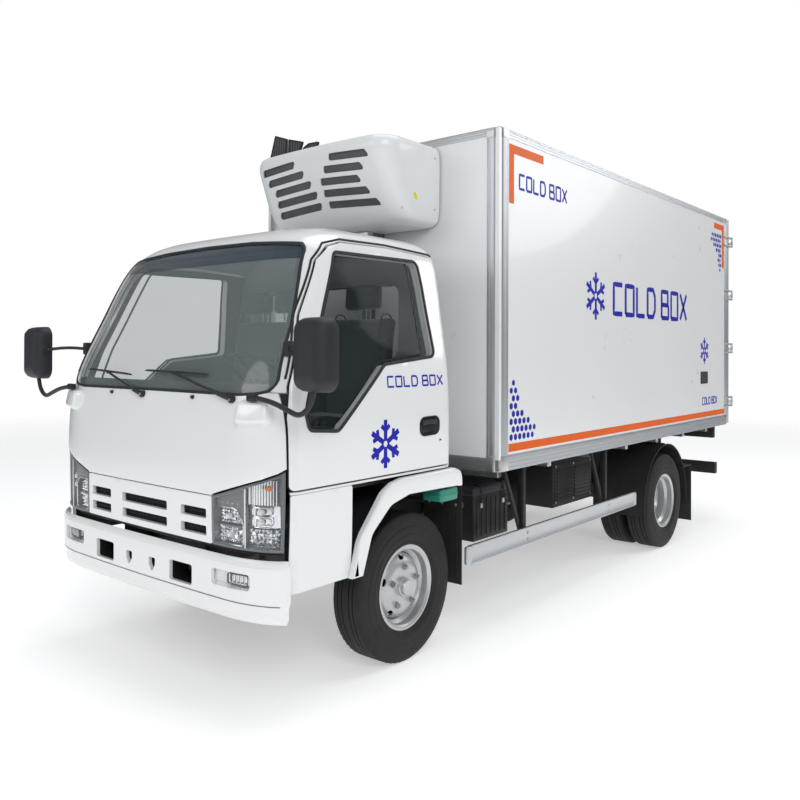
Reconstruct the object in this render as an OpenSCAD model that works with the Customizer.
// Refrigerated box truck: a light cab-over chassis with a tilting cab, an insulated body and a
// cooling unit on the body's front wall. Millimetres. +X is the vehicle's left, the nose points to -Y.

/* [Overall] */
// Distance between the front and rear axles
wheelbase = 3360; // [2800:10:4040]
// Nose of the bumper ahead of the front axle
front_overhang = 1060; // [1056:2:1140]
// Lock gear of the rear doors behind the rear axle
rear_overhang = 1610; // [1500:10:1940]

/* [Wheels] */
// Outer diameter of every tyre
tyre_od = 775; // [700:5:800]
// Section width of a tyre
tyre_w = 200; // [170:5:215]
// Distance between the middles of the two front tyres
front_track = 1504; // [1480:4:1540]
// Distance between the middles of the two rear twin pairs
rear_track = 1480; // [1440:4:1500]
// Distance between the two tyres of a twin pair
dual_pitch = 232; // [225:1:250]
// Bead seat radius of the rims
rim_r = 203; // [195:1:210]
// Bolt circle of the five wheel studs
stud_pcd = 208; // [190:2:216]

/* [Chassis] */
// Width over the two frame rails
frame_w = 700; // [620:10:720]
// Top of the frame rails above the ground
frame_top = 770; // [760:5:800]
// Depth of a frame rail
rail_h = 180; // [150:5:190]
// Width of a rail's flanges
rail_flange = 65; // [50:1:75]
// Plate thickness of the rails
rail_t = 7; // [5:1:10]
// Radius of a kingpin
kingpin_r = 14; // [12:1:18]
// Radius of the hole in the front towing eye
tow_eye_r = 20; // [15:1:24]
// Radius of the four coupling bolt holes in the rear crossmember
hitch_hole_r = 7.5; // [6:0.5:9]

/* [Cab] */
// Width of the cab
cab_w = 1860; // [1800:10:1900]
// Height of the windscreen's lower edge
belt_z = 1440; // [1400:10:1480]
// Height of the roof's crown
roof_z = 2275; // [2260:5:2340]
// Thickness of the cab's walls and roof
cab_wall = 50; // [40:2:58]
// Thickness of a whole door
door_t = 60; // [48:2:70]
// Gap around each door
door_gap = 8; // [6:1:12]
// Thickness of the window glass
glass_t = 5; // [4:1:8]
// Thickness of the bumper's shell
bumper_t = 12; // [8:1:13]

/* [Body] */
// Outer width of the insulated body
body_w = 1980; // [1900:10:2100]
// Outer height of the insulated body
body_h = 2000; // [1700:10:2400]
// Underside of the body above the ground
body_z = 927; // [920:1:960]
// Front wall of the body behind the front axle
body_setback = 663; // [640:1:760]
// Thickness of the body's walls and roof
wall_t = 80; // [60:2:96]
// Thickness of the body's floor
floor_t = 100; // [80:2:120]
// Thickness of the rear doors
rear_door_t = 80; // [60:2:96]
// Gap around the rear doors
rear_gap = 8; // [6:1:12]
// Width of the aluminium profiles on the outside
profile_w = 90; // [70:2:110]

/* [Hidden] */
$fn = 64;

// Colours
white = [0.9, 0.9, 0.9];
steel_black = [0.08, 0.08, 0.09];
aluminium = [0.6, 0.62, 0.65];
silver = [0.72, 0.73, 0.75];
rubber = [0.06, 0.06, 0.06];
glass_blue = [0.45, 0.6, 0.65, 0.5];
charcoal = [0.13, 0.13, 0.15];
teal = [0.18, 0.56, 0.48];
seat_grey = [0.25, 0.26, 0.28];

// Overall places, along Y from the middle of the vehicle's length
overall_len = front_overhang + wheelbase + rear_overhang;
front_axle_y = front_overhang - overall_len / 2;
rear_axle_y = front_axle_y + wheelbase;
tail_y = overall_len / 2;
axle_z = tyre_od / 2;

// Ends of the gearbox and of the spare wheel
gearbox_rear = 1180;
gearbox_z = 545;
spare_y = rear_axle_y + 960;

// Body places
body_front_y = front_axle_y + body_setback;
lock_proud = 28;
body_rear_y = tail_y - lock_proud;
body_hw = body_w / 2;
body_top = body_z + body_h;
door_frame_w = 60;

// Cab places, along Y from the front axle
skirt_z = 560;
sill_z = 1010;
cab_hw = cab_w / 2;
cab_rear = 290;
seam_y = -922;
panel_rear = seam_y - door_gap;
door_rear = 262;
header_z = 2120;
lamp_bottom = 737;
tilt_y = -900;
tilt_z = 800;
tilt_pin_r = 20;
pin_play = 0.1;

module both_sides() {
  children();
  mirror([1, 0, 0]) children();
}

module at_front_axle() {
  translate([0, front_axle_y, 0]) children();
}

module at_rear_axle() {
  translate([0, rear_axle_y, 0]) children();
}

// A block between its low and its high corner
module block(low, high) {
  translate(low) cube(high - low);
}

// A plate with its outline in Y and Z, from x0 to x1
module side_plate(x0, x1, outline) {
  translate([x0, 0, 0]) rotate([90, 0, 90]) linear_extrude(x1 - x0) polygon(outline);
}

// A plate with its outline in X and Z, from y0 to y1
module front_plate(y0, y1, outline) {
  translate([0, y1, 0]) rotate([90, 0, 0]) linear_extrude(y1 - y0) polygon(outline);
}

// A round rod along X
module rod_x(x0, x1, r) {
  translate([x0, 0, 0]) rotate([0, 90, 0]) cylinder(h = x1 - x0, r = r);
}

// A round rod along Y
module rod_y(y0, y1, r) {
  translate([0, y1, 0]) rotate([90, 0, 0]) cylinder(h = y1 - y0, r = r);
}

// A round rod between two points
module rod(a, b, r) {
  v = b - a;
  len_v = norm(v);
  translate(a) rotate([0, acos(v[2] / len_v), atan2(v[1], v[0])]) cylinder(h = len_v, r = r);
}

// Rows of a rounded outline: corner points replaced by arcs of radius r
function unit(v) = v / norm(v);
function round_corner(a, b, c, r, steps = 4) =
  let (
    u = unit(a - b),
    w = unit(c - b),
    half = acos(max(-1, min(1, u * w))) / 2,
    run = r / tan(half),
    mid = b + unit(u + w) * r / sin(half),
    from = b + u * run - mid,
    to = b + w * run - mid
  )
  [for (k = [0:steps]) mid + unit(from * (1 - k / steps) + to * k / steps) * r];
function rounded(points, r) =
  let (n = len(points))
  [for (i = [0:n - 1]) each round_corner(points[(i + n - 1) % n], points[i], points[(i + 1) % n], r)];
function rect(x0, z0, x1, z1) = [[x0, z0], [x1, z0], [x1, z1], [x0, z1]];

// The outline of a bent strip of width w along a path
function strip_normal(path, i) =
  let (
    n = len(path) - 1,
    u = i > 0 ? unit(path[i] - path[i - 1]) : unit(path[1] - path[0]),
    v = i < n ? unit(path[i + 1] - path[i]) : u,
    m = unit([-u[1] - v[1], u[0] + v[0]])
  )
  m / (m * [-u[1], u[0]]);
function strip(path, w) =
  let (n = len(path) - 1)
  concat(
    [for (i = [0:n]) path[i] - strip_normal(path, i) * w / 2],
    [for (i = [n:-1:0]) path[i] + strip_normal(path, i) * w / 2]
  );

// A solid lofted through level rings of equal point count, lowest ring first
module loft(rings) {
  n = len(rings[0]);
  m = len(rings);
  points = [for (ring = rings) each ring];
  sides = [
    for (k = [0:m - 2]) for (i = [0:n - 1])
      let (a = k * n + i, b = k * n + (i + 1) % n)
      each [[a, a + n, b + n], [a, b + n, b]]
  ];
  caps = [[for (i = [0:n - 1]) i], [for (i = [0:n - 1]) m * n - 1 - i]];
  polyhedron(points = points, faces = concat(sides, caps), convexity = 6);
}

// Half of a level ring of the cab: a nearly flat nose, an elliptic corner, a straight side and a
// rounded rear corner. nose is the front's Y at the centre line, corner the depth of its corner.
nose_crown = 12;
corner_share = 0.34;
rear_corner_r = 60;
function half_ring(hw, nose, corner, rear, z) =
  let (ex = corner_share * hw, xa = hw - ex)
  concat(
    [for (k = [0:3]) [xa * k / 3, nose + nose_crown * pow(k / 3, 2), z]],
    [for (a = [15:15:90]) [xa + ex * sin(a), nose + nose_crown + corner * (1 - cos(a)), z]],
    [for (a = [0:30:90])
      [hw - rear_corner_r * (1 - cos(a)), rear - rear_corner_r * (1 - sin(a)), z]]
  );
function full_ring(half) =
  let (n = len(half))
  concat(half, [for (i = [n - 1:-1:1]) [-half[i][0], half[i][1], half[i][2]]]);

// Levels of the cab: height, narrowing of the half width, nose, corner depth, rear, and how much
// of an inset lowers the level
cab_levels = [
  [skirt_z, 15, -1026, 140, cab_rear, 0],
  [skirt_z + 200, 2, -1040, 145, cab_rear, 0],
  [sill_z - 10, 0, -1044, 140, cab_rear, 0],
  [belt_z - 190, 0, -1034, 135, cab_rear, 0],
  [belt_z, 8, -1000, 130, cab_rear + 2, 0],
  [belt_z + 360, 62, -858, 138, cab_rear + 10, 0],
  [header_z, 125, -700, 150, cab_rear + 15, 0],
  [header_z + 50, 155, -650, 165, cab_rear + 10, 0.35],
  [roof_z - 60, 215, -585, 170, cab_rear - 10, 0.8],
  [roof_z - 25, 330, -490, 170, cab_rear - 50, 1],
  [roof_z, 530, -300, 150, cab_rear - 190, 1]
];

// The cab's outer form, taken in by t all round
module cab_form(t) {
  loft([
    for (c = cab_levels)
      full_ring(half_ring(cab_hw - c[1] - t, c[2] + t, c[3], c[4] - t, c[0] - t * c[5]))
  ]);
}

// The cab's form taken in by t at the sides and roof only, and longer at the front and rear
module cab_core(t) {
  loft([
    for (c = cab_levels)
      full_ring(half_ring(cab_hw - c[1] - t, c[2] - 5, c[3], c[4] + 120, c[0] - (t + 1) * c[5]))
  ]);
}

// The cab's skin between two depths, as a closed band
module cab_band(t0, t1) {
  difference() {
    cab_form(t0);
    translate([0, 0, -1]) cab_form(t1);
  }
}

// ---------------------------------------------------------------- outlines on the cab
windscreen_half = [
  [0, header_z + 48], [350, header_z + 42], [690, header_z + 16], [722, header_z - 15],
  [760, 1960], [803, 1750], [826, 1560], [836, belt_z + 50], [815, belt_z + 15],
  [770, belt_z], [660, belt_z - 9], [0, belt_z - 6]
];
windscreen = concat(windscreen_half, [for (i = [10:-1:1]) [-windscreen_half[i][0], windscreen_half[i][1]]]);
door_window = rounded([
  [-838, 1352], [-818, 1272], [-625, 1256], [-272, 1558], [152, 1598], [106, 2106], [-540, 2098],
  [-753, 1627]
], 24);
lamp_outline = [
  [528, lamp_bottom], [990, lamp_bottom], [990, 1112], [915, 1100], [815, 1061], [528, 972]
];
rear_window = rounded(rect(-560, 1580, 560, 2010), 60);

// The door's outline on the side, grown by g
function door_outline(g) = [
  [seam_y - g, sill_z + 8 - g], [seam_y - g, 1330], [-896 - g, 1472], [-775 - g, 1790],
  [-640 - g, 2052], [-560 - g, 2122 + g], [-470, 2150 + g], [-120, 2158 + g],
  [door_rear - 10, 2140 + g], [door_rear + g, 2110], [door_rear + g, sill_z + 8 - g]
];

module windscreen_cut() {
  front_plate(-1100, -560, windscreen);
}

module door_cut(g) {
  side_plate(cab_hw - 300, cab_hw + 50, door_outline(g));
}

module door_window_cut() {
  side_plate(cab_hw - 300, cab_hw + 50, door_window);
}

// The lamp's outline with a 4 mm gap, open to the side
lamp_rim = [
  [524, lamp_bottom - 30], [cab_hw + 70, lamp_bottom - 30], [cab_hw + 70, 1118], [914, 1104],
  [813, 1066], [524, 976]
];
module lamp_cut() {
  front_plate(-1100, panel_rear + 1, lamp_rim);
}

// ---------------------------------------------------------------- cab
arch_r = 540;
arch_front = -500;

module cab_shell() {
  color(white) at_front_axle() {
    difference() {
      union() {
        // Roof, pillars, rear wall and sills
        intersection() {
          cab_band(0, cab_wall);
          union() {
            block([-cab_hw - 10, -1100, belt_z], [cab_hw + 10, cab_rear + 60, roof_z + 10]);
            block([-cab_hw - 10, seam_y + 2, sill_z - 10], [cab_hw + 10, cab_rear + 60, belt_z + 1]);
          }
        }
        // Bulkhead behind the front panel
        intersection() {
          cab_band(bulkhead_in, bulkhead_in + bulkhead_t);
          block([-cab_hw, -1100, well_level + 1], [cab_hw, seam_y + 60, belt_z]);
        }
        // Lower corner panels ahead of the wheels
        intersection() {
          cab_band(0, bulkhead_t);
          block([-cab_hw - 10, seam_y + 4, skirt_z], [cab_hw + 10, arch_front - 30, sill_z - 10]);
        }
      }
      both_sides() door_cut(door_gap);
      windscreen_cut();
      both_sides() lamp_cut();
      front_plate(0, cab_rear + 100, rear_window);
    }
  }
}

bulkhead_in = 31;
bulkhead_t = 26;

// The raised floor over the wheels, the foot wells, the inner arches and the hinge ears
floor_level = sill_z - 12;
well_level = 862;
module cab_floor() {
  color(steel_black) at_front_axle() {
    intersection() {
      union() {
        block([-cab_hw, arch_front, floor_level - 30], [cab_hw, cab_rear, floor_level]);
        block([-cab_hw, -1000, well_level - 20], [cab_hw, arch_front - 20, well_level]);
        block([-cab_hw, arch_front - 20, well_level - 20], [cab_hw, arch_front, floor_level]);
      }
      cab_form(bulkhead_in + bulkhead_t + 0.5);
    }
    both_sides() {
      // Inner wheel arch: wall ahead of the wheel
      block([cab_hw - 350, arch_front - 20, skirt_z + 20], [cab_hw - 62, arch_front, well_level - 20]);
      // Hinge ear, drilled for the tilt pin
      difference() {
        union() {
          translate([rail_x - 50, tilt_y, tilt_z]) rotate([0, 90, 0]) cylinder(h = 30, r = 38);
          block([rail_x - 50, tilt_y - 30, tilt_z], [rail_x - 20, tilt_y + 60, well_level - 19]);
        }
        translate([0, tilt_y, tilt_z]) rod_x(rail_x - 60, rail_x - 10, tilt_pin_r + pin_play);
      }
    }
  }
}

module grille_region() {
  block([-526, -1100, lamp_bottom + 8], [526, -940, 966]);
}

module grille() {
  color(white) at_front_axle() {
    difference() {
      intersection() {
        cab_band(1, 22);
        grille_region();
      }
      for (row = [[900, 862], [825, 787]]) {
        for (span = [[-470, -308], [-190, 190], [308, 470]]) {
          front_plate(-1100, -900, rounded(rect(span[0], row[1], span[1], row[0]), 6));
        }
      }
    }
  }
}

module front_panel() {
  color(white) at_front_axle() {
    difference() {
      union() {
        intersection() {
          cab_form(0);
          block([-cab_hw - 5, -1100, lamp_bottom + 20], [cab_hw + 5, panel_rear, belt_z - 1]);
        }
        // Raised covers at the feet of the mirror arms
        intersection() {
          cab_form(-34);
          both_sides() front_plate(-1140, panel_rear,
            rounded([[672, 1296], [838, 1304], [826, 1402], [672, 1402]], 16));
        }
      }
      cab_form(30);
      block([-526, -1100, 600], [526, -900, 970]);
      both_sides() lamp_cut();
      windscreen_cut();
    }
  }
}

module headlamps() {
  color([0.75, 0.78, 0.8]) at_front_axle() {
    intersection() {
      cab_band(1, bulkhead_in + 24);
      both_sides() front_plate(-1100, panel_rear, lamp_outline);
    }
  }
}

module cab_glass() {
  color(glass_blue) at_front_axle() {
    intersection() {
      cab_band(8, 8 + glass_t);
      union() {
        windscreen_cut();
        front_plate(100, cab_rear + 60, rear_window);
      }
    }
  }
}

// Wiper arms in the plane of the windscreen: pivot, elbow and the two ends of the blade, as X and Z
screen_lean = atan((858 - 1000) / 360);
module wiper(pivot, elbow, tip_a, tip_b) {
  rod([pivot[0], 0, pivot[1]], [elbow[0], -4, elbow[1]], 6);
  rod([tip_a[0], -4, tip_a[1]], [tip_b[0], -4, tip_b[1]], 5);
  translate([pivot[0], 10, pivot[1]]) rotate([90, 0, 0]) cylinder(h = 20, r = 11);
}

module wipers() {
  color(rubber) at_front_axle() {
    translate([0, -1014, belt_z]) rotate([screen_lean, 0, 0]) {
      wiper([-55, -34], [-400, 62], [-620, 78], [-190, 58]);
      wiper([625, -34], [185, 68], [-65, 80], [430, 70]);
    }
  }
}

mirror_x = 1149;
mirror_y = -1010;
mirror_z = 1608;
mirror_hw = 100;
mirror_hh = 153;
// Bends of the lower arm, from its foot on the corner's cover up into the housing
mirror_arm = [[765, 1422], [900, 1404], [1060, 1352], [1122, 1395], [mirror_x, 1480]];
module mirror_set() {
  intersection() {
    front_plate(mirror_y - 60, mirror_y + 44, rounded(
      rect(mirror_x - mirror_hw, mirror_z - mirror_hh, mirror_x + mirror_hw, mirror_z + mirror_hh), 50));
    side_plate(mirror_x - mirror_hw - 10, mirror_x + mirror_hw + 10, rounded([
      [mirror_y + 44, mirror_z - mirror_hh], [mirror_y + 44, mirror_z + mirror_hh],
      [mirror_y - 30, mirror_z + mirror_hh], [mirror_y - 60, mirror_z + 90], [mirror_y - 60, mirror_z - 90],
      [mirror_y - 30, mirror_z - mirror_hh]
    ], 16));
  }
  front_plate(mirror_y - 6, mirror_y + 18, strip(mirror_arm, 24));
  block([739, mirror_y - 6, 1402.5], [768, mirror_y + 18, 1434]);
  rod([846, -856, 1631], [mirror_x - mirror_hw + 20, mirror_y, 1624], 9);
}

module mirror_left() {
  color(charcoal) at_front_axle() mirror_set();
}

module mirror_right() {
  color(charcoal) mirror([1, 0, 0]) at_front_axle() mirror_set();
}

// The wheel-arch flare: its outline from the front foot over the wheel to the rear end
flare_outer = [
  [-548, skirt_z + 4], [-500, 724], [-478, 762], [-322, 940], [-250, 975], [-170, 990], [280, 994],
  [348, 972], [358, 885]
];
flare_inner = [[300, 893], [-112, 902], [-262, 868], [-405, 750], [-472, skirt_z + 4]];
module front_flares() {
  color(white) at_front_axle() {
    both_sides() difference() {
      side_plate(cab_hw - 50, cab_hw + 22, concat(flare_outer, flare_inner));
      // The foot's front edge lies on the corner panel
      block([cab_hw - 60, -600, skirt_z], [cab_hw + 1, arch_front - 28, sill_z]);
    }
  }
}

module washer_tank() {
  color(teal) at_front_axle() {
    difference() {
      translate([0, 0, 812]) linear_extrude(70)
        polygon(rounded([[790, 190], [925, 190], [925, 350], [790, 350]], 18));
      translate([850, 300, 860]) cylinder(h = 40, r = 18);
    }
    block([800, 240, 880], [840, 280, floor_level - 30]);
  }
}

dashboard_hw = 790;
module dashboard() {
  color(charcoal) at_front_axle() {
    intersection() {
      cab_form(70);
      side_plate(-dashboard_hw, dashboard_hw, [
        [-1050, 1120], [-780, 1120], [-700, 1200], [-690, 1360], [-740, 1425], [-860, 1452],
        [-1050, 1432]
      ]);
    }
    // Steering column, from the foot well up to the wheel
    translate([wheel_x, wheel_y, wheel_z]) rotate([-wheel_lean, 0, 0]) {
      translate([0, 0, -column_len]) cylinder(h = column_len - 55, r = 26);
      translate([0, 0, -70]) cylinder(h = 45, r = 12);
    }
  }
}

wheel_x = 380;
wheel_y = -585;
wheel_z = 1500;
wheel_lean = 30;
// Down to just above the foot well
column_len = (wheel_z - well_level - 18) / cos(wheel_lean);
module steering_wheel() {
  color(charcoal) at_front_axle() {
    translate([wheel_x, wheel_y, wheel_z]) rotate([-wheel_lean, 0, 0]) {
      rotate_extrude() translate([205, 0]) circle(r = 14);
      difference() {
        translate([0, 0, -40]) cylinder(h = 45, r = 55);
        translate([0, 0, -41]) cylinder(h = 20, r = 12 + pin_play);
      }
      for (a = [30, 150, 270]) {
        rotate([0, 0, a]) block([40, -16, -22], [200, 16, -8]);
      }
    }
  }
}

// One seat: cushion, back and headrest, each a rounded slab
module seat(x0, x1) {
  side_plate(x0, x1, rounded([[-430, 1130], [20, 1120], [40, 1270], [-420, 1290]], 35));
  side_plate(x0, x1, rounded([[50, 1150], [130, 1150], [205, 1830], [115, 1838], [48, 1400]], 30));
  block([(x0 + x1) / 2 - 150, 118, 1838], [(x0 + x1) / 2 + 150, 200, 2010]);
  block([x0 + 40, -380, floor_level], [x1 - 40, 0, 1121]);
}

module seats() {
  color(seat_grey) at_front_axle() {
    seat(140, 640);
    seat(-720, -20);
  }
}

// A cab door, its hinge at the front edge
module door_slab() {
  at_front_axle() difference() {
    intersection() {
      cab_form(0);
      door_cut(0);
    }
    translate([0, 0, -1]) cab_core(door_t);
    door_window_cut();
    // Handle recess
    side_plate(cab_hw - 32, cab_hw + 50, rounded(rect(-10, 1180, 157, 1284), 30));
  }
}

module door_glass() {
  at_front_axle() intersection() {
    cab_band(12, 12 + glass_t);
    door_window_cut();
  }
}

module door_left() {
  color(white) door_slab();
}

module door_right() {
  color(white) mirror([1, 0, 0]) door_slab();
}

module door_glass_left() {
  color(glass_blue) door_glass();
}

module door_glass_right() {
  color(glass_blue) mirror([1, 0, 0]) door_glass();
}

// ---------------------------------------------------------------- bumper
bumper_top = 727;
bumper_bottom = 440;
bumper_levels = [
  [bumper_bottom, 5, 22, 120], [bumper_bottom + 80, -6, 8, 135], [bumper_bottom + 86, -12, 0, 140],
  [bumper_top - 60, -14, 0, 142], [bumper_top - 12, -13, 4, 142], [bumper_top, -6, 8, 142]
];
module bumper_form(t) {
  loft([
    for (c = bumper_levels)
      full_ring(half_ring(cab_hw - c[1] - t, -front_overhang + c[2] + t, c[3], 0, c[0]))
  ]);
}

module front_bumper() {
  color(white) at_front_axle() difference() {
    bumper_form(0);
    translate([0, 0, -1]) bumper_form(bumper_t);
    translate([0, 0, 1]) bumper_form(bumper_t);
    block([-1200, seam_y - 4, 0], [1200, 100, 900]);
    both_sides() {
      front_plate(-1200, -900, rounded(rect(240, 545, 408, 638), 10));
      front_plate(-1200, -900, rounded(rect(545, 582, 775, 652), 14));
      front_plate(-1200, -900, rounded(rect(78, 570, 112, 614), 12));
    }
  }
}

// ---------------------------------------------------------------- chassis
rail_front = front_axle_y - 850;
arm_top = 640;
rail_rear = body_rear_y - 160;
rail_x = frame_w / 2;
cross_list = [
  rail_front + 80, front_axle_y + gearbox_rear + 120, rear_axle_y - 1100, rear_axle_y - 330,
  rear_axle_y + 460, spare_y - 25
];
// The two channel rails, each with the sill that carries the body, a pad that the tilting cab comes
// down on, and the ear of the cab's tilt hinge
module frame_rails() {
  color(steel_black) both_sides() {
    difference() {
      block([rail_x - rail_flange, rail_front, frame_top - rail_h], [rail_x, rail_rear, frame_top]);
      block([rail_x - rail_flange - 1, rail_front - 1, frame_top - rail_h + rail_t],
        [rail_x - rail_t, rail_rear + 1, frame_top - rail_t]);
    }
    block([rail_x - 60, body_front_y + 20, frame_top], [rail_x, rail_rear, bearer_low]);
    at_front_axle() {
      block([rail_x - 60, cab_rear - 90, frame_top - 4], [rail_x, cab_rear - 30, floor_level - 38]);
      block([rail_x - 14, tilt_y - 24, arm_top], [rail_x, -780, frame_top]);
      translate([rail_x - 14, tilt_y, tilt_z]) rotate([0, 90, 0]) cylinder(h = 14, r = 30);
      block([rail_x - 14, tilt_y - 24, frame_top - 5], [rail_x, tilt_y + 24, tilt_z]);
    }
  }
}

// Cross members between the rails, the tilt pin and the front bar with the towing eye
module crossmembers() {
  color(steel_black) {
    for (y = cross_list) {
      block([-rail_x + rail_t, y, frame_top - rail_h + rail_t],
        [rail_x - rail_t, y + 8, frame_top - rail_t]);
      block([-rail_x + rail_t, y, frame_top - rail_h + rail_t],
        [rail_x - rail_t, y + 50, frame_top - rail_h + rail_t + 8]);
    }
    // Rear crossmember that takes a coupling
    difference() {
      block([-rail_x, rail_rear, frame_top - rail_h - 20], [rail_x, rail_rear + 12, frame_top]);
      for (x = [-60, 60]) for (z = [-27.5, 27.5]) {
        translate([x, rail_rear + 40, hitch_z + z]) rotate([90, 0, 0]) cylinder(h = 60, r = hitch_hole_r);
      }
    }
    at_front_axle() translate([0, tilt_y, tilt_z]) rod_x(-rail_x + 14, rail_x - 14, tilt_pin_r);
    front_bar();
  }
}

// The bar ahead of the rails that carries the bumper's arms and the towing eye
hitch_z = frame_top - rail_h / 2 - 10;
tow_x = 322;
module front_bar() {
  block([-475, rail_front - 25, 592], [475, rail_front, arm_top]);
  both_sides() block([455, front_axle_y - front_overhang + 24, 535], [475, rail_front, arm_top]);
  at_front_axle() difference() {
    union() {
      translate([tow_x, -960, 592]) cylinder(h = 20, r = 38);
      block([tow_x - 38, -960, 592], [tow_x + 38, -860, 612]);
    }
    translate([tow_x, -960, 580]) cylinder(h = 50, r = tow_eye_r);
  }
}

// A leaf pack: stepped leaves between two shackles, its seat at the middle
leaf_t = 9;
stations = 8;
module leaf_pack(seat_z, half_len, leaves) {
  eye_z = frame_top - rail_h - 45;
  bow = eye_z - seat_z - leaf_t * leaves;
  for (k = [0:leaves - 1]) {
    n = stations - k;
    low = seat_z + leaf_t * (leaves - 1 - k);
    side_plate(rail_x - 62, rail_x - 2, concat(
      [for (i = [-n:n]) [half_len * i / stations, low + bow * pow(i / stations, 2)]],
      [for (i = [n:-1:-n]) [half_len * i / stations, low + leaf_t + bow * pow(i / stations, 2)]]
    ));
  }
  for (s = [-1, 1]) {
    translate([0, s * (half_len + 4), eye_z + 2]) rod_x(rail_x - 62, rail_x - 2, 20);
    block([rail_x - 56, s * (half_len + 4) - 22, eye_z], [rail_x - 8, s * (half_len + 4) + 22, frame_top - rail_h]);
  }
}

front_seat_z = axle_z + 10;
rear_seat_z = axle_z + 62;
module leaf_springs() {
  color([0.15, 0.15, 0.16]) both_sides() {
    at_front_axle() leaf_pack(front_seat_z, 560, 4);
    at_rear_axle() leaf_pack(rear_seat_z, 600, 4);
  }
}

kingpin_x = front_track / 2 - 97;
boss_h = 84;
beam_low = axle_z - 62;
module front_axle() {
  color(steel_black) at_front_axle() {
    difference() {
      union() {
        front_plate(-34, 34, [
          [-kingpin_x + 10, axle_z - 30], [-470, beam_low], [470, beam_low], [kingpin_x - 10, axle_z - 30],
          [kingpin_x - 10, axle_z + 32], [470, front_seat_z], [-470, front_seat_z],
          [-kingpin_x + 10, axle_z + 32]
        ]);
        both_sides() translate([kingpin_x, 0, axle_z - boss_h / 2]) cylinder(h = boss_h, r = 32);
      }
      both_sides() translate([kingpin_x, 0, axle_z - 60]) cylinder(h = 120, r = kingpin_r + pin_play / 2);
      both_sides() for (s = [-1, 1]) {
        block([-kingpin_x + 60, s * 22 - 13, beam_low + 14], [-420, s * 22 + 13, axle_z - 14]);
      }
    }
  }
}

spindle_r = 24;
hub_face_x = front_track / 2 + 60;
eye_back = 150;
eye_r = 16;
rod_z = axle_z - 64;
module knuckle() {
  at_front_axle() {
    translate([kingpin_x, 0, axle_z - 72]) cylinder(h = 144, r = kingpin_r);
    for (z = [axle_z + 45, axle_z - 65]) {
      translate([kingpin_x, 0, z]) cylinder(h = 20, r = 26);
      block([kingpin_x, -26, z], [kingpin_x + 50, 26, z + 20]);
    }
    block([kingpin_x + 36, -40, axle_z - 65], [kingpin_x + 54, 40, axle_z + 65]);
    translate([0, 0, axle_z]) rod_x(kingpin_x + 40, hub_face_x + 20, spindle_r);
    translate([0, 0, axle_z]) rod_x(kingpin_x + 54, kingpin_x + 64, 150);
    // Steering arm with its ball pin
    side_plate(kingpin_x + 20, kingpin_x + 36, [
      [-30, axle_z - 65], [30, axle_z - 65], [eye_back + 16, rod_z + 19], [eye_back + 16, rod_z + 35],
      [62, rod_z + 35], [42, axle_z - 45], [-30, axle_z - 45]
    ]);
    block([kingpin_x - 14, eye_back - 16, rod_z + 19], [kingpin_x + 36, eye_back + 16, rod_z + 35]);
    translate([kingpin_x, eye_back, rod_z - 18]) cylinder(h = 40, r = 9);
  }
}

module knuckle_left() {
  color(steel_black) knuckle();
}

module knuckle_right() {
  color(steel_black) mirror([1, 0, 0]) knuckle();
}

module tie_rod() {
  color(steel_black) at_front_axle() {
    difference() {
      union() {
        translate([0, eye_back, rod_z]) rod_x(-kingpin_x, kingpin_x, 12);
        both_sides() translate([kingpin_x, eye_back, rod_z - 14]) cylinder(h = 28, r = eye_r + 4);
      }
      translate([kingpin_x, eye_back, rod_z - 20]) cylinder(h = 40, r = 9 + pin_play);
      mirror([1, 0, 0]) translate([kingpin_x, eye_back, rod_z - 20]) cylinder(h = 40, r = 9.5);
    }
  }
}

axle_tube_r = 48;
rear_hub_x = rear_track / 2;
module rear_axle() {
  color(steel_black) at_rear_axle() {
    translate([0, 0, axle_z]) {
      rod_x(-rear_hub_x + 130, rear_hub_x - 130, axle_tube_r);
      both_sides() rod_x(rear_hub_x - 140, rear_hub_x + 60, 36);
      sphere(r = 155);
      rotate([90, 0, 0]) cylinder(h = 210, r = 75);
      both_sides() block([rail_x - 70, -60, 0], [rail_x + 6, 60, rear_seat_z - axle_z]);
    }
    // Propeller shaft, up to the gearbox
    rod([0, -200, axle_z + 10], [0, gearbox_rear - wheelbase, gearbox_z], 38);
  }
}

module engine() {
  color([0.3, 0.3, 0.32]) at_front_axle() {
    block([-260, -330, 450], [260, 560, 880]);
    block([-150, 560, 460], [150, gearbox_rear - 8, 700]);
  }
}

module fuel_tank() {
  color(steel_black) at_front_axle() {
    difference() {
      translate([0, 1050, 0]) front_plate(0, 760, rounded(rect(-760, 470, -rail_x - 24, 800), 60));
      translate([-600, 1200, 790]) cylinder(h = 20, r = 30);
    }
    for (y = [1180, 1640]) {
      block([-rail_x - 26, y, frame_top - rail_h + 20], [-rail_x, y + 40, frame_top - 20]);
    }
  }
}

module battery_box() {
  color(steel_black) at_front_axle() {
    // Battery box ahead, louvred power box behind
    block([rail_x + 24, 760, 470], [760, 1160, 800]);
    block([rail_x + 24, 1800, 520], [740, 2420, 850]);
    for (y = [800, 1080, 1860, 2320]) {
      block([rail_x, y, frame_top - rail_h + 20], [rail_x + 26, y + 40, frame_top - 20]);
    }
  }
}

module muffler() {
  color([0.35, 0.33, 0.3]) at_front_axle() {
    translate([-540, 0, 640]) rod_y(560, 1000, 95);
    translate([-540, 0, 640]) rod_y(500, 560, 28);
    translate([-540, 0, 640]) rod_y(1000, 1030, 28);
    for (y = [640, 880]) {
      block([-540, y, 700], [-rail_x, y + 30, 760]);
    }
  }
}

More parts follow.
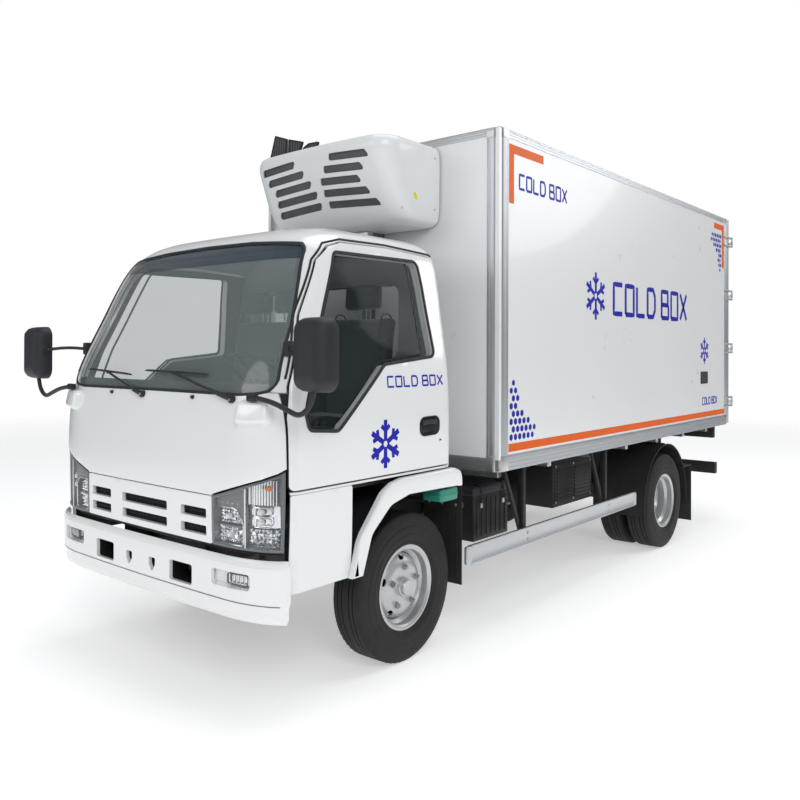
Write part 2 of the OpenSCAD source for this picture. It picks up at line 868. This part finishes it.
module spare_wheel() {
  color(rubber) translate([0, spare_y, frame_top - rail_h - tyre_w / 2 - 70]) {
    rotate([0, -90, 0]) {
      tyre_solid();
      rim_barrel();
    }
    translate([0, 0, -20]) difference() {
      cylinder(h = 12, r = rim_r - 20);
      translate([0, 0, -1]) cylinder(h = 14, r = 55);
    }
    translate([0, 0, -14]) cylinder(h = tyre_w / 2 + 84 + rail_t, r = 20);
  }
}

guard_z = 435;
guard_h = 105;
guard_x = 950;
guard_front = front_axle_y + 403;
guard_rear = rear_axle_y - 603;
module side_guards() {
  color(aluminium) both_sides() {
    side_plate(guard_x - 26, guard_x, rounded([
      [guard_front, guard_z], [guard_rear, guard_z], [guard_rear, guard_z + guard_h],
      [guard_front, guard_z + guard_h]
    ], 8));
    for (y = [guard_front + 650, guard_rear - 520]) {
      block([guard_x - 66, y, guard_z + 20], [guard_x - 26, y + 40, body_z + 4]);
      side_plate(guard_x - 60, guard_x - 40, [
        [y + 10, guard_z + 40], [y + 40, guard_z + 40], [y - 180, body_z + 4], [y - 210, body_z + 4]
      ]);
    }
  }
}

underrun_z = 440;
module underrun_bar() {
  color(steel_black) {
    block([-900, body_rear_y - 130, underrun_z], [900, body_rear_y - 70, underrun_z + 110]);
    both_sides() block([rail_x, body_rear_y - 150, underrun_z + 20],
      [rail_x + 14, body_rear_y - 110, frame_top]);
    both_sides() block([rail_x, rail_rear - 60, frame_top - 120],
      [rail_x + 14, body_rear_y - 110, frame_top - 20]);
  }
}

module tail_lamps() {
  color([0.6, 0.1, 0.08]) both_sides() {
    block([560, body_rear_y - 120, body_z - 140], [880, body_rear_y - 60, body_z - 30]);
  }
  color(steel_black) both_sides() {
    block([700, body_rear_y - 115, body_z - 30], [740, body_rear_y - 92, body_z + 4]);
  }
}

guard_r = 462;
module rear_mudguards() {
  color(rubber) both_sides() at_rear_axle() {
    translate([rear_track / 2 - 210, 0, axle_z]) rotate([0, 90, 0]) rotate([0, 0, 90])
      difference() {
        cylinder(h = 430, r = guard_r + 6);
        translate([0, 0, -1]) cylinder(h = 432, r = guard_r);
        translate([-600, -600, -1]) cube([1200, 530, 440]);
      }
    block([rear_track / 2 - 210, 590, 130], [rear_track / 2 + 220, 600, axle_z + 240]);
    block([rear_track / 2 - 210, 390, axle_z + 232], [rear_track / 2 + 220, 600, axle_z + 242]);
    block([rail_x + 1, -20, axle_z + guard_r + 3], [rear_track / 2 + 200, 20, axle_z + guard_r + 15]);
    block([rail_x, -20, frame_top - 60], [rail_x + 8, 20, axle_z + guard_r + 15]);
  }
}

module front_mud_flaps() {
  color(rubber) both_sides() at_front_axle() {
    block([600, 468, 300], [865, 476, 880]);
    block([rail_x, 476, 735], [860, 500, 765]);
  }
}

// ---------------------------------------------------------------- wheels
// Wheel solids turn about X, their outer side towards +X
module turned(profile) {
  rotate([0, 90, 0]) rotate_extrude($fn = 96) polygon(profile);
}

// Half the width over a rim's flanges
rim_w = tyre_w / 2 - 16;
module tyre_solid() {
  r = tyre_od / 2;
  w = tyre_w / 2;
  turned(concat(
    [[rim_r, -rim_w + 12.4], [rim_r + 18.5, -rim_w + 7.6], [rim_r + 20, -rim_w - 3],
      [rim_r + 60, -w + 2], [rim_r + 92, -w],
      [r - 50, -w + 4], [r - 16, -w + 12], [r - 4, -w + 24], [r, -w + 42]],
    [[r, w - 42], [r - 4, w - 24], [r - 16, w - 12], [r - 50, w - 4], [rim_r + 92, w],
      [rim_r + 60, w - 2], [rim_r + 20, rim_w + 3], [rim_r + 18.5, rim_w - 7.6], [rim_r, rim_w - 12.4]]
  ));
}

// The rim's barrel: two flanges and a dropped centre, 8 mm thick, inside the tyre's beads
module rim_barrel() {
  r = rim_r - 0.3;
  turned([
    [r + 18, -rim_w], [r + 18, -rim_w + 7], [r, -rim_w + 12], [r, -44], [r - 20, -26], [r - 20, 18],
    [r, 36], [r, rim_w - 12], [r + 18, rim_w - 7], [r + 18, rim_w], [r + 6, rim_w], [r - 8, rim_w - 8],
    [r - 8, 38], [r - 28, 20], [r - 28, -28], [r - 8, -46], [r - 8, -rim_w + 8], [r + 6, -rim_w]
  ]);
}

front_disc = [
  [rim_r - 24, -12], [rim_r - 34, 26], [rim_r - 60, 52], [rim_r - 92, 64], [34, 64], [34, 54],
  [rim_r - 94, 54], [rim_r - 66, 43], [rim_r - 44, 18], [rim_r - 36, -12]
];
// The five wheel nuts
module wheel_nuts(x0, x1) {
  for (a = [0:72:288]) {
    rotate([a, 0, 0]) translate([0, 0, stud_pcd / 2]) rod_x(x0, x1, 16);
  }
}

module front_rim() {
  difference() {
    union() {
      rim_barrel();
      turned(front_disc);
      rod_x(6, 96, 50);
      wheel_nuts(56, 82);
    }
    rod_x(-30, 80 + 2, spindle_r + pin_play / 2);
    for (a = [36:72:324]) {
      rotate([a, 0, 0]) translate([0, 0, rim_r - 52]) rod_x(-20, 90, 17);
    }
  }
}

rear_disc = [
  [rim_r - 24, -30], [rim_r - 38, -78], [rim_r - 66, -104], [60, -104], [60, -116], [rim_r - 62, -116],
  [rim_r - 30, -86], [rim_r - 12, -34]
];
module rear_rim_pair() {
  half = dual_pitch / 2;
  difference() {
    union() {
      translate([half, 0, 0]) rim_barrel();
      translate([-half, 0, 0]) rim_barrel();
      translate([half, 0, 0]) turned(rear_disc);
      translate([-half, 0, 0]) mirror([1, 0, 0]) turned(rear_disc);
      rod_x(-half + 20, 62, 72);
      rod_x(60, 100, 46);
      translate([half, 0, 0]) wheel_nuts(-110, -84);
    }
    rod_x(-half - 10, 64, 36 + pin_play / 2);
    for (a = [36:72:324]) {
      rotate([a, 0, 0]) translate([0, 0, rim_r - 50]) rod_x(-40, 40, 16);
    }
  }
}

module front_wheel_place() {
  translate([front_track / 2, front_axle_y, axle_z]) children();
}

module rear_wheel_place() {
  translate([rear_track / 2, rear_axle_y, axle_z]) children();
}

module front_tyre_left() {
  color(rubber) front_wheel_place() tyre_solid();
}

module front_tyre_right() {
  color(rubber) mirror([1, 0, 0]) front_wheel_place() tyre_solid();
}

module front_rim_left() {
  color(silver) front_wheel_place() front_rim();
}

module front_rim_right() {
  color(silver) mirror([1, 0, 0]) front_wheel_place() front_rim();
}

module rear_tyre_pair() {
  for (s = [-1, 1]) {
    translate([s * dual_pitch / 2, 0, 0]) tyre_solid();
  }
}

module rear_tyres_left() {
  color(rubber) rear_wheel_place() rear_tyre_pair();
}

module rear_tyres_right() {
  color(rubber) mirror([1, 0, 0]) rear_wheel_place() rear_tyre_pair();
}

module rear_rims_left() {
  color(silver) rear_wheel_place() rear_rim_pair();
}

module rear_rims_right() {
  color(silver) mirror([1, 0, 0]) rear_wheel_place() rear_rim_pair();
}

// ---------------------------------------------------------------- insulated body
door_plane = body_rear_y - rear_door_t;
in_hw = body_hw - wall_t;
wall_foot = body_z + floor_t - 30;
module box_floor() {
  color(aluminium) {
    block([-body_hw + 4, body_front_y + 4, body_z + 4], [body_hw - 4, door_plane - rear_gap, wall_foot]);
    // The load floor between the walls
    block([-in_hw + 1, body_front_y + wall_t + 1, wall_foot - 2],
      [in_hw - 1, door_plane - rear_gap, body_z + floor_t]);
  }
}

// Cross bearers between the chassis sills and the floor
bearer_low = body_z - 60;
module floor_bearers() {
  color(steel_black) for (k = [0:6]) {
    y = body_front_y + 160 + k * (door_plane - body_front_y - 440) / 6;
    block([-body_hw + 110, y, bearer_low], [body_hw - 110, y + 50, body_z + 4]);
  }
}

module box_front_wall() {
  color(white) block([-body_hw + 4, body_front_y + 4, wall_foot],
    [body_hw - 4, body_front_y + wall_t, body_top - wall_t]);
}

module box_side_walls() {
  color(white) both_sides() block([in_hw, body_front_y + wall_t, wall_foot],
    [body_hw - 4, door_plane - door_frame_w, body_top - wall_t]);
}

module box_roof() {
  color(white) block([-body_hw + 4, body_front_y + 4, body_top - wall_t],
    [body_hw - 4, door_plane - door_frame_w, body_top - 4]);
}

// Aluminium profiles: corner posts, rails along every edge, and the frame of the rear doors
module box_profiles() {
  color(aluminium) difference() {
    union() {
      // Bottom rails
      both_sides() block([body_hw - 30, body_front_y, body_z], [body_hw, door_plane - rear_gap, body_z + profile_w]);
      block([-body_hw, body_front_y, body_z], [body_hw, body_front_y + 30, body_z + profile_w - 16]);
      // Front posts, rounded outside
      both_sides() intersection() {
        block([body_hw - 80, body_front_y, body_z], [body_hw, body_front_y + profile_w + 10, body_top]);
        translate([body_hw - 50, body_front_y + 50, body_z]) union() {
          cylinder(h = body_h, r = 50);
          block([-80, -50, 0], [0, 100, body_h]);
          block([-80, 0, 0], [50, 100, body_h]);
        }
      }
      // Top rails
      both_sides() block([body_hw - 30, body_front_y, body_top - 46], [body_hw, door_plane - rear_gap, body_top]);
      block([-body_hw, body_front_y, body_top - 46], [body_hw, body_front_y + 30, body_top]);
      both_sides() fixed_hinges();
      // Rear door frame
      difference() {
        block([-body_hw, door_plane - door_frame_w, wall_foot], [body_hw, door_plane - rear_gap, body_top]);
        block([-in_hw, door_plane - 100, wall_foot - 1], [in_hw, door_plane + 50, body_top - wall_t]);
      }
    }
    // Room for the panels that the profiles wrap
    block([-body_hw + 4, body_front_y + 4, body_z + 4], [body_hw - 4, door_plane - door_frame_w, body_top - 4]);
    block([-body_hw + 4, door_plane - 200, body_z + 4], [body_hw - 4, door_plane, wall_foot]);
  }
}

// Rear doors: hinge pins just outside the side walls and just behind the doors' outer face
hinge_out = 18;
hinge_pin_r = 6;
knuckle_r = 10;
hinge_count = 4;
function hinge_z(k) = body_z + 220 + k * (body_h - 440) / (hinge_count - 1);
leaf_gap = 16;
module rear_door() {
  block([leaf_gap / 2, door_plane, body_z + 6], [body_hw - 5, body_rear_y, body_top]);
  for (k = [0:hinge_count - 1]) {
    difference() {
      union() {
        translate([body_hw + hinge_out, body_rear_y + hinge_out, hinge_z(k) - 26]) cylinder(h = 52, r = knuckle_r);
        block([body_hw - 120, body_rear_y, hinge_z(k) - 26], [body_hw - 5, body_rear_y + 8, hinge_z(k) + 26]);
        block([body_hw - 10, body_rear_y, hinge_z(k) - 26],
          [body_hw + hinge_out, body_rear_y + hinge_out, hinge_z(k) + 26]);
      }
      translate([body_hw + hinge_out, body_rear_y + hinge_out, hinge_z(k) - 30])
        cylinder(h = 60, r = hinge_pin_r + pin_play);
    }
  }
}

// The half of each rear hinge that stays on the door frame, with its pin
module fixed_hinges() {
  for (k = [0:hinge_count - 1]) {
    for (z = [hinge_z(k) - 50, hinge_z(k) + 32]) {
      block([body_hw, door_plane - 70, z], [body_hw + 8, body_rear_y + hinge_out, z + 18]);
      translate([body_hw + hinge_out, body_rear_y + hinge_out, z]) cylinder(h = 18, r = knuckle_r);
      block([body_hw, body_rear_y + hinge_out - 8, z],
        [body_hw + hinge_out, body_rear_y + hinge_out, z + 18]);
    }
    translate([body_hw + hinge_out, body_rear_y + hinge_out, hinge_z(k) - 50])
      cylinder(h = 100, r = hinge_pin_r);
  }
}

module lock_gear() {
  for (x = [150, 560]) {
    translate([x, body_rear_y + 16, body_z + 30]) cylinder(h = body_h - 60, r = 10);
    for (k = [0:3]) {
      z = body_z + 60 + k * (body_h - 140) / 3;
      block([x - 30, body_rear_y, z], [x + 30, body_rear_y + 10, z + 30]);
    }
    block([x - 14, body_rear_y + 8, body_z + 500], [x + 240, body_rear_y + 22, body_z + 526]);
  }
}

module rear_door_left() {
  color(white) rear_door();
}

module rear_door_right() {
  color(white) mirror([1, 0, 0]) rear_door();
}

module lock_gear_left() {
  color(silver) lock_gear();
}

module lock_gear_right() {
  color(silver) mirror([1, 0, 0]) lock_gear();
}

// ---------------------------------------------------------------- cooling
unit_top = body_top - 46;
unit_low = body_top - 540;
fan_x = 262;
fan_y = body_front_y - 240;
fan_r = 150;
fan_z = unit_top - 70;
guard_plate_t = 18;
fan_guards = [
  [[-478, -20], [-322, -20], [-318, 104], [-425, 142]],
  [[-305, -20], [-208, -20], [-172, 62], [-300, 98]],
  [[-190, -20], [-90, -20], [-40, 22], [-35, 40], [-120, 42], [-165, 22]]
];
module cooling_unit() {
  color(white) difference() {
    intersection() {
      translate([0, body_front_y, 0]) side_plate(-600, 600, rounded([
        [3, unit_low - 10], [-300, unit_low + 18], [-385, unit_low + 60], [-545, unit_top - 60],
        [-500, unit_top - 6], [-60, unit_top], [3, unit_top - 20]
      ], 14));
      translate([0, body_front_y, unit_low - 20]) linear_extrude(700) polygon(rounded([
        [-578, 4], [-560, -440], [-500, -560], [500, -560], [560, -440], [578, 4]
      ], 13));
    }
    // Fan wells
    for (s = [-1, 1]) {
      translate([s * fan_x, fan_y, fan_z - 40]) cylinder(h = 200, r = fan_r + 12);
    }
    // Intake slots, two columns of five
    for (s = [-1, 1]) for (k = [0:4]) {
      translate([0, body_front_y - 700, 0]) front_plate(0, 260, [
        for (p = rounded(rect(60, -17, 440 - 16 * k, 17), 12)) [s * p[0], unit_top - 100 - 62 * k + p[1] - s * 0.06 * p[0]]
      ]);
    }
  }
  // Upright guard plates ahead of the right fan
  color(steel_black) translate([0, body_front_y - 450, unit_top]) {
    for (plate = fan_guards) front_plate(0, guard_plate_t, plate);
  }
  // Motor posts that carry the fans
  color(steel_black) for (s = [-1, 1]) {
    translate([s * fan_x, fan_y, fan_z - 40]) {
      cylinder(h = 34, r = 42);
      translate([0, 0, 30]) cylinder(h = 40, r = 7.95);
    }
  }
}

module condenser_fan() {
  translate([fan_x, fan_y, fan_z]) {
    difference() {
      cylinder(h = 34, r = 40);
      translate([0, 0, -1]) cylinder(h = 36, r = 8);
    }
    for (a = [0:72:288]) {
      rotate([0, 0, a]) translate([34, 0, 17]) rotate([28, 0, 0]) block([0, -28, -2], [fan_r - 38, 28, 2]);
    }
  }
}

module condenser_fan_left() {
  color(steel_black) condenser_fan();
}

module condenser_fan_right() {
  color(steel_black) mirror([1, 0, 0]) condenser_fan();
}

module evaporator() {
  color(silver) difference() {
    translate([0, body_front_y + wall_t, 0]) side_plate(-580, 580, [
      [0, body_top - wall_t - 240], [120, body_top - wall_t - 240], [420, body_top - wall_t - 60],
      [420, body_top - wall_t], [0, body_top - wall_t]
    ]);
    for (x = [-300, 0, 300]) {
      translate([x, body_front_y + wall_t + 270, body_top - wall_t - 150]) rotate([-31, 0, 0])
        translate([0, 0, -120]) cylinder(h = 80, r = 110);
    }
  }
}

frame_rails();
crossmembers();
leaf_springs();
front_axle();
rear_axle();
engine();
fuel_tank();
battery_box();
muffler();
spare_wheel();
side_guards();
underrun_bar();
rear_mudguards();
front_mud_flaps();
tail_lamps();
front_bumper();
floor_bearers();
box_floor();
box_front_wall();
box_side_walls();
box_roof();
box_profiles();
evaporator();
cooling_unit();
condenser_fan_left();
condenser_fan_right();
rear_door_left();
rear_door_right();
lock_gear_left();
lock_gear_right();
cab_shell();
cab_floor();
front_panel();
grille();
headlamps();
cab_glass();
wipers();
mirror_left();
mirror_right();
front_flares();
washer_tank();
dashboard();
seats();
steering_wheel();
door_left();
door_right();
door_glass_left();
door_glass_right();
knuckle_left();
knuckle_right();
tie_rod();
front_tyre_left();
front_rim_left();
front_tyre_right();
front_rim_right();
rear_tyres_left();
rear_rims_left();
rear_tyres_right();
rear_rims_right();
